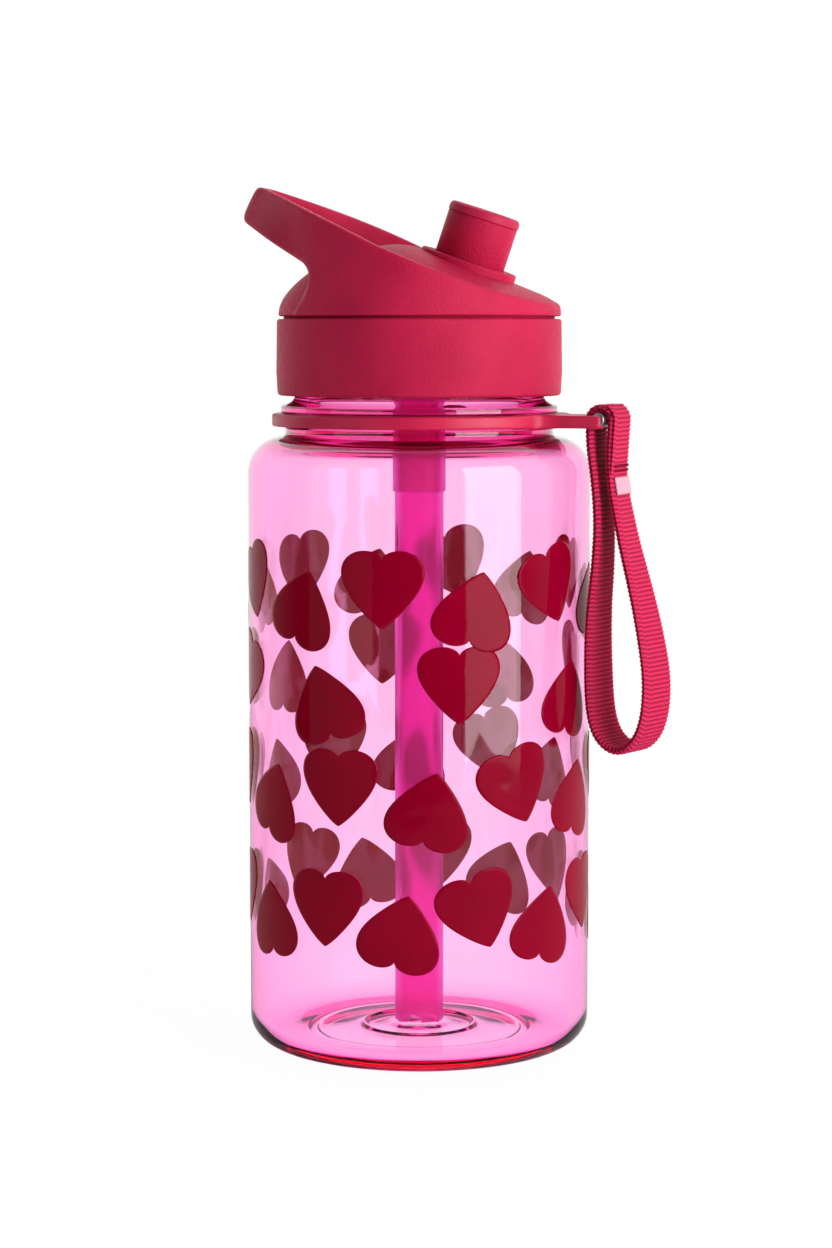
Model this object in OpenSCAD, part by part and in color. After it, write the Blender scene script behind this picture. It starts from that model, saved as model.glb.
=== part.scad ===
// Child's water bottle with a screw lid, push-pull spout, straw and wrist strap.
// Millimetres, +Z up, origin on the bottle's axis at the plane it stands on.

/* [Bottle] */
// Outer radius of the body
body_r = 37.5; // [36:0.1:39]
// Height at which the shoulder begins to turn in
shoulder_z = 126; // [120:0.5:127]
// Thickness of the moulded wall
wall = 2; // [1.6:0.1:2.4]
// Outer radius of the neck under the lid
neck_r = 27.4; // [27.2:0.1:27.5]
// Inner radius of the neck
neck_bore_r = 25; // [24.6:0.1:25.2]
// Height of the neck's rim
rim_z = 158; // [157.8:0.1:158.2]
// Radius of the bead that keeps the strap ring on
bead_r = 30.3; // [29.8:0.1:30.6]

/* [Printed hearts] */
// Width of one heart
heart_w = 18; // [14:0.5:19]
// How far the upside-down hearts hang below the others
heart_drop = 6; // [0:0.5:8]
// Greatest lean of a heart, in degrees
heart_lean = 18; // [0:1:20]
// Thickness of the ink
ink_t = 0.12; // [0.1:0.01:0.2]

/* [Thread] */
// Rise of the thread in one turn
thread_lead = 6; // [5:0.5:6]
// Turns of thread on the neck and in the collar
thread_turns = 1.25; // [1:0.25:1.25]

/* [Lid] */
// Outer radius of the screw collar
collar_r = 31.2; // [31:0.1:31.5]
// Height of the collar's lower edge
collar_z = 142.8; // [142:0.1:143]
// Height of the collar's upper edge
seam_z = 159.4; // [159.2:0.1:159.5]
// Outer radius of the dome at its foot
dome_r = 30.7; // [30.5:0.1:30.9]
// Height of the dome above its foot
dome_h = 15.9; // [15.5:0.1:16.4]
// Slope of the lid's top, in degrees
top_slope = 22; // [21:0.5:23]
// How far the carry loop reaches from the axis
loop_reach = 39.8; // [38:0.1:41]
// Width of the carry loop's band
loop_t = 3.6; // [3:0.1:4]

/* [Spout] */
// Tilt of the spout from vertical, in degrees
spout_tilt = 18.5; // [18:0.5:19]
// Outer radius of the spout
spout_r = 7.75; // [7.6:0.05:7.8]
// Height of the spout above its flange
spout_h = 11.4; // [11:0.1:11.6]
// Radius of the raised flange
flange_r = 10.7; // [10.2:0.1:11]

/* [Straw] */
// Outer radius of the straw
straw_r = 5.35; // [5.2:0.05:5.4]
// Gap between the straw and the floor
straw_gap = 1.2; // [1:0.1:2]

/* [Wrist strap] */
// Angle of the strap's lug about the axis, in degrees
lug_angle = -10; // [-20:1:0]
// Distance of the crossbar from the axis
bar_reach = 43.3; // [43:0.1:44]
// Radius of the crossbar
bar_r = 1.5; // [1.4:0.05:1.6]
// Width of the webbing
web_w = 10; // [9:0.1:10]
// Thickness of the webbing
web_t = 1.6; // [1.4:0.1:1.6]

/* [Hidden] */
heart_rows = [[101, 12, -90], [81, 8, -65], [59, 12, -105], [33, 14, -110]];  // height, count, first angle
lean_step = 137;        // angle whose sine varies the lean from heart to heart
$fn = 96;

floor_z = 3;            // top of the bottle's floor
corner_r = 6;           // outside radius of the base corner
shoulder_r = 7.9;       // outside radius of the shoulder
neck_foot_z = 134.2;    // where the shoulder meets the neck
ledge_z = 135.9;        // ledge that the strap ring rests on
bead_z = 139;           // underside of the bead
ring_t = 2.7;           // thickness of the strap ring
ring_z = 136.2;         // underside of the strap ring
groove_r = 28.7;        // neck radius inside the strap ring
cap_z = 159.8;          // underside of the inner cap
cap_t = 1.4;            // thickness of the inner cap
foot_z = 160;           // lower edge of the dome
lip_r = 29.6;           // outer radius of the collar's spigot
fit = 0.05;             // radial clearance of a running fit
spout_at = [11.2, 0, 172];
guide_s = -3.4;         // lower end of the spout's guide, along the spout's axis
flange_t = 2.2;         // thickness of the flange
stop_t = 0.8;           // thickness of the spout's stop collar
stop_r = 8.4;           // radius of the stop collar
stop_s = -8.3;          // lower face of the stop collar, along the spout's axis
thread_z = 146.2;       // height at which the neck's thread starts
collar_turn = 60;       // angle between the starts of the two threads
socket_z = 122;         // lower end of the straw socket
socket_r = 5.8;         // outer radius of the straw socket
straw_neck_r = 4.75;    // radius of the straw's pushed-in end
well_x = 7.9;           // centre of the dome's inner well
vent_x = -15;           // where the air vent is
bar_z = 138;            // height of the crossbar
cheek_w = 2.2;          // width of each of the lug's cheeks
slot_w = web_w + 0.8;   // width of the lug's slot

// Points along an arc, counter-clockwise when to > from.
function arc(c, r, from, to, n = 8) =
    [for (i = [0 : n]) let (a = from + (to - from) * i / n) c + r * [cos(a), sin(a)]];

// A frame whose +Z runs up the spout's axis, with its origin at the flange.
module on_spout() {
    translate(spout_at) rotate([0, spout_tilt, 0]) children();
}

// A frame whose +X points out along the strap's lug.
module on_lug() {
    rotate([0, 0, lug_angle]) children();
}

module tube(r_out, r_in, z0, z1) {
    translate([0, 0, z0]) difference() {
        cylinder(r = r_out, h = z1 - z0);
        translate([0, 0, -1]) cylinder(r = r_in, h = z1 - z0 + 2);
    }
}

module ring_seal(r, section) {
    rotate_extrude() translate([r, 0]) circle(r = section, $fn = 24);
}

// One helical rib: a trapezium swept round the axis, with its ends tapered to the root.
module thread_rib(root_r, crest_r, z0, half_root, half_crest) {
    steps = 50;
    sections = [for (i = [0 : steps]) let (
        a = 360 * thread_turns * i / steps,
        z = z0 + thread_lead * thread_turns * i / steps,
        ease = min(1, 0.5 + min(i, steps - i) / 10),
        tip = root_r + (crest_r - root_r) * ease,
        quad = [[root_r, -half_root], [tip, -half_crest], [tip, half_crest], [root_r, half_root]]
    ) [for (p = quad) [p[0] * cos(a), p[0] * sin(a), z + p[1]]]];
    inward = crest_r < root_r;
    walls = [for (i = [0 : steps - 1], k = [0 : 3]) let (
        p = 4 * i + k,
        q = 4 * i + (k + 1) % 4
    ) each [[p, q, q + 4], [p, q + 4, p + 4]]];
    last = 4 * steps;
    caps = [[2, 1, 0], [3, 2, 0], [last, last + 1, last + 2], [last, last + 2, last + 3]];
    faces = concat(walls, caps);
    polyhedron(
        points = [for (s = sections) each s],
        faces = inward ? [for (f = faces) [for (i = [len(f) - 1 : -1 : 0]) f[i]]] : faces
    );
}

module bottle_body() {
    outer = concat(
        [[0, 1], [22, 1], [24, 0]],
        arc([body_r - corner_r, corner_r], corner_r, -90, 0),
        arc([body_r - shoulder_r, shoulder_z], shoulder_r, 0, 90),
        [[29.3, neck_foot_z], [29.3, ledge_z], [groove_r, ledge_z + 0.2], [groove_r, bead_z]],
        [[bead_r - 0.4, bead_z], [bead_r, bead_z + 0.4], [bead_r, bead_z + 1.3]],
        [[bead_r - 0.5, bead_z + 1.8], [28, bead_z + 2.6], [neck_r, bead_z + 3.2]],
        [[neck_r, rim_z - 0.6], [neck_r - 0.6, rim_z], [neck_bore_r, rim_z]]
    );
    inner_r = body_r - wall;
    cavity = concat(
        [[neck_bore_r, rim_z]],
        arc([neck_bore_r + 2.2, 134.1], 2.2, 180, 270, 4),
        arc([body_r - shoulder_r, shoulder_z], shoulder_r - wall, 90, 0),
        arc([inner_r - 4, floor_z + 4], 4, 0, -90),
        [[13.2, floor_z], [12.6, floor_z + 0.5], [11.8, floor_z + 0.5], [11.2, floor_z]],
        [[0, floor_z]]
    );
    color([1, 0.55, 0.82, 0.5]) union() {
        rotate_extrude() polygon(concat(outer, cavity));
        thread_rib(neck_r - 0.3, neck_r + 1.1, thread_z, 1.1, 0.6);
    }
}

// Outline of a heart, point down, about its own centre.
function heart(w) = [for (i = [0 : 23]) let (t = i * 15, s = sin(t)) w / 32 * [
    16 * sign(s) * pow(abs(s), 2.3 + 0.65 * cos(t)),
    14.2 * cos(t) - 4 * cos(2 * t) - 1.3 * cos(3 * t) - 0.6 * cos(4 * t) + 1.5
]];

// Rows of hearts, every second one upside down and a little lower.
// Each gives angle round the axis, height, and lean to the right.
hearts = [for (row = heart_rows) for (i = [0 : row[1] - 1]) let (turned = i % 2) [
    row[2] + 360 * i / row[1],
    row[0] + heart_drop * (0.5 - turned),
    heart_lean * sin(lean_step * i) + 180 * turned
]];

module heart_print() {
    color([0.55, 0, 0.12]) intersection() {
        tube(body_r + ink_t, body_r, corner_r, shoulder_z);
        union() for (h = hearts)
            rotate([0, 0, h[0]]) translate([body_r - 6, 0, h[1]]) rotate([0, 90, 0])
                rotate([0, 0, 90 - h[2]]) linear_extrude(12) polygon(heart(heart_w));
    }
}

module screw_collar() {
    bore_r = neck_r + 1.5;
    color([0.83, 0.12, 0.32]) union() {
        rotate_extrude() polygon([
            [bore_r, collar_z], [collar_r - 1, collar_z], [collar_r - 0.2, collar_z + 0.9],
            [collar_r, collar_z + 4], [collar_r - 0.1, seam_z - 0.8], [collar_r - 0.7, seam_z],
            [lip_r, seam_z], [lip_r, seam_z + 2.4], [bore_r, seam_z + 2.4]
        ]);
        rotate([0, 0, collar_turn]) thread_rib(
            bore_r + 0.3, neck_r + 0.4,
            thread_z + thread_lead * (collar_turn / 360 - 0.5), 1.1, 0.6
        );
    }
}

// Side outline of the cheeks and the carry loop, in X and Z.
function side_outline() = concat(
    [[dome_r + 1, foot_z], [dome_r + 1, foot_z + 2.2], [29.8, foot_z + 2.6]],
    [[20.6, 165], [9, 169.4], [-3, 174.5], [-11, 178.2], [-22.3, 182.6], [-32.9, 187.1]],
    [[-36.9, 188.7], [-38.4, 188.4], [-39.3, 186.9], [-loop_reach - 0.1, 183.2]],
    [[-39.7, 181.6], [-38.9, 180.8], [-37.3, 180.2]],
    [[-20.6, 171.1], [-19.3, 169.5], [-19.1, 167.4], [-20.3, 164.9], [-22.9, foot_z]]
);

// Plan outline shared by the cheeks and the carry loop, set in by some distance.
module plan_outline(inset) {
    nose_r = 8;
    hull() {
        circle(r = dome_r - inset, $fn = 96);
        translate([nose_r - loop_reach, 0]) circle(r = nose_r - inset, $fn = 32);
    }
}

// Solid of the dome, with its crowned sloping top, set in by some distance.
module dome_solid(inset) {
    crown_r = 142;
    top = dome_h - inset;
    intersection() {
        translate([0, 0, foot_z]) rotate_extrude() polygon(concat(
            [[0, -1], [dome_r - inset, -1]],
            [for (i = [0 : 12]) [(dome_r - inset) * cos(90 * i / 12), top * sin(90 * i / 12)]]
        ));
        translate([0, 0, foot_z + top - 0.5]) rotate([0, top_slope, 0])
            translate([0, 0, -crown_r]) rotate([0, 90, 0])
                cylinder(r = crown_r, h = 200, center = true, $fn = 96);
    }
}

module lid_dome() {
    color([0.8, 0.15, 0.33]) difference() {
        union() {
            difference() {
                union() {
                    dome_solid(0);
                    intersection() {
                        translate([0, 50, 0]) rotate([90, 0, 0])
                            linear_extrude(100) polygon(side_outline());
                        translate([0, 0, foot_z]) linear_extrude(40) difference() {
                            plan_outline(0);
                            plan_outline(loop_t);
                        }
                    }
                }
                dome_solid(2.2);
                translate([0, 0, foot_z - 2]) cylinder(r = lip_r + 0.05, h = 4.5);
            }
            intersection() {
                dome_solid(0.4);
                union() {
                    translate([well_x, 0, 0]) tube(12.8, 11.4, cap_z + cap_t, 176);
                    on_spout() tube(spout_r + 3, spout_r, guide_s, 2);
                }
            }
        }
        translate([0, 0, foot_z - 5]) cylinder(r = 45, h = 5);
        on_spout() translate([0, 0, guide_s - 1]) cylinder(r = spout_r + fit, h = 12);
        on_spout() translate([0, 0, -flange_t]) cylinder(r = flange_r + 0.02, h = 6);
        translate([vent_x, 0, foot_z]) cylinder(r = 0.8, h = 20, $fn = 24);
    }
}

module inner_cap() {
    color([0.9, 0.3, 0.5]) difference() {
        union() {
            translate([0, 0, cap_z]) cylinder(r = neck_r + 1.4, h = cap_t);
            tube(neck_bore_r - 0.5, neck_bore_r - 2, rim_z - 5, cap_z + 0.1);
            tube(9, 7.6, cap_z - 2.2, cap_z + 0.1);
        }
        translate([0, 0, cap_z - 1]) cylinder(r = 4.3, h = 4);
        translate([vent_x, 0, cap_z - 1]) cylinder(r = 1.25, h = 4, $fn = 32);
        for (a = [90, 270])
            translate([vent_x, 0, 0]) rotate([0, 0, a])
                translate([2.3, 0, cap_z - 1]) cylinder(r = 0.5, h = 4, $fn = 24);
    }
}

module neck_gasket() {
    color([0.95, 0.85, 0.9]) rotate_extrude() polygon([
        [neck_bore_r - 0.4, rim_z + 0.05], [neck_r + 0.6, rim_z + 0.05],
        [neck_r + 0.9, cap_z - 0.9], [neck_r + 0.6, cap_z - 0.02],
        [neck_bore_r - 0.4, cap_z - 0.02]
    ]);
}

module spout_flange() {
    color([0.83, 0.14, 0.34]) on_spout() difference() {
        translate([0, 0, -flange_t]) cylinder(r = flange_r, h = flange_t);
        translate([0, 0, -flange_t - 1]) cylinder(r = spout_r + fit, h = 6);
        translate([0, 0, -1.95]) cylinder(r = 9.1, h = 1.3);
    }
}

module spout_seal() {
    color([0.2, 0.2, 0.22]) on_spout() translate([0, 0, -1.3]) ring_seal(spout_r + 0.65, 0.62);
}

module spout_post() {
    color([0.9, 0.3, 0.5]) difference() {
        on_spout() union() {
            translate([0, 0, -14]) cylinder(r = 2, h = 22, $fn = 48);
            translate([0, 0, 7]) cylinder(r = 2.45, h = spout_h - 7.2, $fn = 48);
        }
        translate([0, 0, cap_z + cap_t - 10]) cylinder(r = 30, h = 10);
    }
}

module spout() {
    color([0.83, 0.12, 0.32]) on_spout() difference() {
        union() {
            translate([0, 0, stop_s]) cylinder(r = spout_r, h = spout_h - 2 - stop_s);
            translate([0, 0, stop_s]) cylinder(r = stop_r, h = stop_t);
        }
        translate([0, 0, -9]) cylinder(r = 5.6, h = 17.2);
        cylinder(r = 2.5, h = 20, $fn = 48);
    }
}

module spout_tip() {
    color([0.88, 0.16, 0.38]) on_spout() rotate_extrude() polygon(concat(
        [[2.5, spout_h - 2], [spout_r, spout_h - 2], [spout_r + 0.12, spout_h - 1.9]],
        arc([spout_r - 0.88, spout_h - 1], 1, 0, 90, 5),
        [[3.2, spout_h], [2.5, spout_h - 0.7]]
    ));
}

module straw_socket() {
    color([0.93, 0.3, 0.6, 0.8]) difference() {
        union() {
            translate([0, 0, socket_z]) cylinder(r = socket_r, h = cap_z - socket_z);
            translate([0, 0, cap_z - 1.8]) cylinder(r = 7.55, h = 1.8);
        }
        translate([0, 0, socket_z - 1]) cylinder(r = straw_neck_r + 0.02, h = 13.6);
        translate([0, 0, socket_z]) cylinder(r = 4.1, h = 50);
        tube(7, 5.5, cap_z - 1.1, cap_z + 1);
    }
}

module socket_seal() {
    color([0.2, 0.2, 0.22]) translate([0, 0, cap_z - 0.55]) ring_seal(6.25, 0.54);
}

module straw() {
    foot = floor_z + straw_gap;
    color([0.93, 0.3, 0.6, 0.8]) difference() {
        union() {
            translate([0, 0, foot]) cylinder(r = straw_r, h = socket_z - foot);
            translate([0, 0, foot]) cylinder(r = straw_neck_r, h = socket_z - foot + 12);
        }
        translate([0, 0, foot - 1]) cylinder(r = 4, h = socket_z + 20);
        translate([0, 0, foot]) rotate([90, 0, 0])
            cylinder(r = 1.6, h = 20, center = true, $fn = 32);
    }
}

module vent_valve() {
    color([0.95, 0.85, 0.9]) translate([vent_x, 0, 0]) union() {
        translate([0, 0, cap_z - 0.9]) cylinder(r1 = 3.2, r2 = 3.6, h = 0.85, $fn = 48);
        translate([0, 0, cap_z - 0.5]) cylinder(r = 1.2, h = 2.4, $fn = 32);
        translate([0, 0, cap_z + cap_t + 0.02]) cylinder(r1 = 1.7, r2 = 1.1, h = 1.2, $fn = 32);
    }
}

module strap_ring() {
    half = slot_w / 2 + cheek_w;
    cheek_end = bar_reach + 0.9;
    slot_x = bar_reach - 3.6;
    color([0.83, 0.12, 0.32]) on_lug() difference() {
        union() {
            rotate_extrude() translate([29.1, ring_z]) square([3.1, ring_t]);
            translate([0, 0, ring_z]) linear_extrude(ring_t) difference() {
                polygon([
                    [24, -14], [34, -half - 1], [37, -half], [cheek_end - 1, -half],
                    [cheek_end, -half + 1], [cheek_end, half - 1], [cheek_end - 1, half],
                    [37, half], [34, half + 1], [24, 14]
                ]);
                circle(r = 30);
                translate([slot_x, -slot_w / 2]) square([20, slot_w]);
            }
        }
        translate([bar_reach, half - 0.7, bar_z]) rotate([90, 0, 0])
            cylinder(r = bar_r, h = 2 * half - 1.4, $fn = 48);
    }
}

module strap_bar() {
    half = slot_w / 2 + cheek_w - 0.7;
    color([0.6, 0.55, 0.55]) on_lug() translate([bar_reach, half, bar_z]) rotate([90, 0, 0])
        cylinder(r = bar_r, h = 2 * half, $fn = 48);
}

// Middle line of the hanging webbing, as distance from the axis and height.
web_line = concat(
    arc([bar_reach, bar_z], bar_r + 0.15 + web_t / 2, 0, 180, 10),
    [[41.1, 132], [41.9, 126], [42.5, 120], [42.7, 114], [42.3, 106], [41.4, 97], [41, 87]],
    [[41.4, 77], [42.8, 71.4], [45.3, 68.4], [48.3, 67.4], [51.1, 68.3], [53.6, 71.2]],
    [[55, 75.5], [55.4, 80.5], [55, 85.5], [53.8, 91.5], [52.2, 98], [50.4, 104.5]],
    [[48.6, 111], [47.2, 117], [45.9, 123.5], [45.4, 130]]
);

module wrist_strap() {
    color([0.78, 0.13, 0.33]) on_lug() translate([0, web_w / 2, 0]) rotate([90, 0, 0])
        linear_extrude(web_w) difference() {
            offset(delta = web_t / 2) polygon(web_line);
            offset(delta = -web_t / 2) polygon(web_line);
        }
}

module strap_stitching() {
    row_z = [126.4, 127.6];
    color([0.7, 0.05, 0.25]) on_lug() for (z = row_z, i = [-3 : 3])
        translate([45.65 + web_t / 2 - (z - 123.5) * 0.077, i * 1.3 - 0.45, z])
            cube([0.35, 0.9, 0.4]);
}

module strap_tab() {
    color([0.98, 0.7, 0.78]) on_lug() translate([46.2 + web_t / 2, 0, 121.6])
        rotate([0, -11.5, 0]) cube([0.5, web_w - 0.6, 3.8], center = true);
}

bottle_body();
heart_print();
screw_collar();
lid_dome();
inner_cap();
neck_gasket();
spout_flange();
spout_seal();
spout_post();
spout();
spout_tip();
straw_socket();
socket_seal();
straw();
vent_valve();
strap_ring();
strap_bar();
wrist_strap();
strap_stitching();
strap_tab();
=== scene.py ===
import math

import bmesh
import bpy
import numpy as np
from mathutils import Matrix, Vector


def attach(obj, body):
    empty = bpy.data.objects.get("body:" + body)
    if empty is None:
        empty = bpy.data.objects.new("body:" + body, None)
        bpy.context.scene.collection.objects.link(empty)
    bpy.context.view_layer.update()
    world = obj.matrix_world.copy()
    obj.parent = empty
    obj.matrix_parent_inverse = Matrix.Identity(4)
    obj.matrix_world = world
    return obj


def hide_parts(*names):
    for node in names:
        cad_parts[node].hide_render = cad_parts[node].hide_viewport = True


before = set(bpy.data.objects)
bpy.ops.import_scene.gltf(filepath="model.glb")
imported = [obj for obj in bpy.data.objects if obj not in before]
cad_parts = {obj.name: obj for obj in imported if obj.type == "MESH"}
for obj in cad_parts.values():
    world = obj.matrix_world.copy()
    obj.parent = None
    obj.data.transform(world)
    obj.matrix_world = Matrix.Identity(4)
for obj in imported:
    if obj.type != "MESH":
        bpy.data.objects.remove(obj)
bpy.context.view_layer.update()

MM = 0.001
TAU = 2 * math.pi

# ---------------------------------------------------------------- sizes, in millimetres
BODY_R = 37.5
FLOOR_Z = 3.0
CORNER_R = 6.0
SHOULDER_Z = 126.0
SHOULDER_R = 7.9
WALL = 2.0
NECK_R = 27.4
NECK_BORE_R = 25.0
RIM_Z = 158.0
BEAD_R = 30.3
BEAD_Z = 139.0
COLLAR_R = 31.2
COLLAR_Z = 142.8
SEAM_Z = 159.4
DOME_R = 30.7
DOME_H = 15.9
FOOT_Z = 160.0
TOP_SLOPE = math.radians(22)
CROWN_R = 142.0
LOOP_REACH = 39.8
LOOP_NOSE_R = 8.0
LOOP_T = 3.6
SPOUT_AT = (11.2, 0.0, 172.0)
SPOUT_TILT = math.radians(18.5)
SPOUT_R = 7.75
SPOUT_H = 11.4
FLANGE_R = 10.7
STOP_Z = -8.3
STOP_R = 8.4
STOP_T = 0.8
LUG_ANGLE = math.radians(-10)
BAR_REACH = 43.3
BAR_Z = 138.0
BAR_R = 1.5
WEB_W = 10.0
WEB_T = 1.6
SLOT_PLAY = 0.4
FORK_T = 2.2
FORK_HALF = WEB_W / 2 + SLOT_PLAY + FORK_T
RING_R = 30.65
RING_Z = 136.2
RING_T = 2.7
THREAD_Z = 146.2
THREAD_LEAD = 6.0


# ---------------------------------------------------------------- camera and light
def add_camera():
    """The photograph's view: level with the lid's seam and looking slightly down."""
    azimuth = math.radians(12)
    distance = 0.64
    eye_z = 0.1556
    aim_z = 0.0925
    aside = -0.0007
    data = bpy.data.cameras.new("camera")
    camera = bpy.data.objects.new("camera", data)
    bpy.context.scene.collection.objects.link(camera)
    data.sensor_fit = "VERTICAL"
    data.sensor_height = 36
    data.lens = 84.0865
    eye = Vector((math.sin(azimuth) * distance, -math.cos(azimuth) * distance, eye_z))
    aim = Vector((aside * math.cos(azimuth), aside * math.sin(azimuth), aim_z))
    camera.location = eye
    camera.rotation_euler = (aim - eye).to_track_quat("-Z", "Y").to_euler()
    bpy.context.scene.camera = camera


def add_light(name, at, aim, size, power):
    data = bpy.data.lights.new(name, "AREA")
    data.shape = "RECTANGLE"
    data.size, data.size_y = size
    data.energy = power
    light = bpy.data.objects.new(name, data)
    light.location = at
    light.rotation_euler = (Vector(aim) - Vector(at)).to_track_quat("-Z", "Y").to_euler()
    bpy.context.scene.collection.objects.link(light)


def add_world():
    """A white wall behind the bottle and a dark room in front of it; it is plain white where it is seen."""
    world = bpy.data.worlds.new("studio")
    bpy.context.scene.world = world
    world.use_nodes = True
    nodes, links = world.node_tree.nodes, world.node_tree.links
    nodes.clear()
    direction = nodes.new("ShaderNodeTexCoord")
    split = nodes.new("ShaderNodeSeparateXYZ")
    level = nodes.new("ShaderNodeMapRange")
    level.interpolation_type = "SMOOTHSTEP"
    for key, value in (("From Min", -0.3), ("From Max", 0.3), ("To Min", 0.05), ("To Max", 0.95)):
        level.inputs[key].default_value = value
    path = nodes.new("ShaderNodeLightPath")
    either = nodes.new("ShaderNodeMath")
    either.operation = "MAXIMUM"
    light = nodes.new("ShaderNodeBackground")
    light.inputs["Color"].default_value = (1, 1, 1, 1)
    out = nodes.new("ShaderNodeOutputWorld")
    links.new(direction.outputs["Generated"], split.inputs[0])
    links.new(split.outputs["Y"], level.inputs["Value"])
    links.new(level.outputs["Result"], either.inputs[0])
    links.new(path.outputs["Is Camera Ray"], either.inputs[1])
    inside = nodes.new("ShaderNodeMath")
    inside.operation = "MULTIPLY"
    inside.inputs[1].default_value = 1.1
    brightest = nodes.new("ShaderNodeMath")
    brightest.operation = "MAXIMUM"
    capped = nodes.new("ShaderNodeMath")
    capped.operation = "MINIMUM"
    capped.inputs[1].default_value = 1.0
    links.new(path.outputs["Transmission Depth"], capped.inputs[0])
    links.new(capped.outputs[0], inside.inputs[0])
    links.new(either.outputs[0], brightest.inputs[0])
    links.new(inside.outputs[0], brightest.inputs[1])
    links.new(brightest.outputs[0], light.inputs["Strength"])
    links.new(light.outputs[0], out.inputs["Surface"])


# ---------------------------------------------------------------- mesh helpers
def new_piece(name, verts, faces, material, body, smooth=True):
    """A mesh piece from points in millimetres, riding on a CAD body."""
    mesh = bpy.data.meshes.new(name)
    mesh.from_pydata([tuple(c * MM for c in v) for v in verts], [], faces)
    mesh.validate()
    if smooth:
        mesh.polygons.foreach_set("use_smooth", [True] * len(mesh.polygons))
    mesh.materials.append(material)
    piece = bpy.data.objects.new(name, mesh)
    bpy.context.scene.collection.objects.link(piece)
    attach(piece, body)
    return piece


def lathe(profile, steps=192, closed=True):
    """Points and quads of a profile of (radius, height) turned about Z; a zero radius becomes a pole."""
    verts, faces, rows = [], [], []
    for r, z in profile:
        if r < 1e-6:
            rows.append([len(verts)] * steps)
            verts.append((0.0, 0.0, z))
            continue
        start = len(verts)
        rows.append([start + i for i in range(steps)])
        for i in range(steps):
            a = TAU * i / steps
            verts.append((r * math.cos(a), r * math.sin(a), z))
    count = len(rows)
    for k in range(count if closed else count - 1):
        low, high = rows[k], rows[(k + 1) % count]
        if low[0] == low[1] and high[0] == high[1]:
            continue
        for i in range(steps):
            j = (i + 1) % steps
            quad = [low[i], low[j], high[j], high[i]]
            face = [v for n, v in enumerate(quad) if v not in quad[:n]]
            if len(face) > 2:
                faces.append(face)
    return verts, faces


def arc(cx, cz, r, a0, a1, n=8):
    return [
        (cx + r * math.cos(math.radians(a0 + (a1 - a0) * i / n)),
         cz + r * math.sin(math.radians(a0 + (a1 - a0) * i / n)))
        for i in range(n + 1)
    ]


def rounded(points, n=4):
    """A closed outline whose corners (x, z, radius) are rounded by arcs of n steps."""
    out = []
    for i, (x, z, r) in enumerate(points):
        if r <= 0:
            out.append((x, z))
            continue
        p = Vector((x, z))
        a = Vector(points[i - 1][:2]) - p
        b = Vector(points[(i + 1) % len(points)][:2]) - p
        la, lb = a.length, b.length
        a, b = a / la, b / lb
        half = a.angle(b) / 2
        cut = min(r / math.tan(half), la * 0.49, lb * 0.49)
        r = cut * math.tan(half)
        centre = p + (a + b).normalized() * (r / math.sin(half))
        u, v = p + a * cut - centre, p + b * cut - centre
        turn = u.angle(v)
        for k in range(n + 1):
            t = k / n
            w = (math.sin((1 - t) * turn) * u + math.sin(t * turn) * v) / math.sin(turn)
            out.append(tuple(centre + w))
    return out


def moved(verts, matrix):
    return [tuple(matrix @ Vector(v)) for v in verts]


ON_SPOUT = Matrix.Translation(SPOUT_AT) @ Matrix.Rotation(SPOUT_TILT, 4, "Y")
ON_LUG = Matrix.Rotation(LUG_ANGLE, 4, "Z")


# ---------------------------------------------------------------- surfaces from a distance field
def length(*parts):
    return np.sqrt(sum(p * p for p in parts))


def smooth_max(a, b, k):
    """Larger of two distances, with the edge between them rounded over k millimetres."""
    h = np.clip(0.5 + 0.5 * (a - b) / k, 0, 1)
    return b + (a - b) * h + k * h * (1 - h)


def smooth_min(a, b, k):
    return -smooth_max(-a, -b, k)


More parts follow.
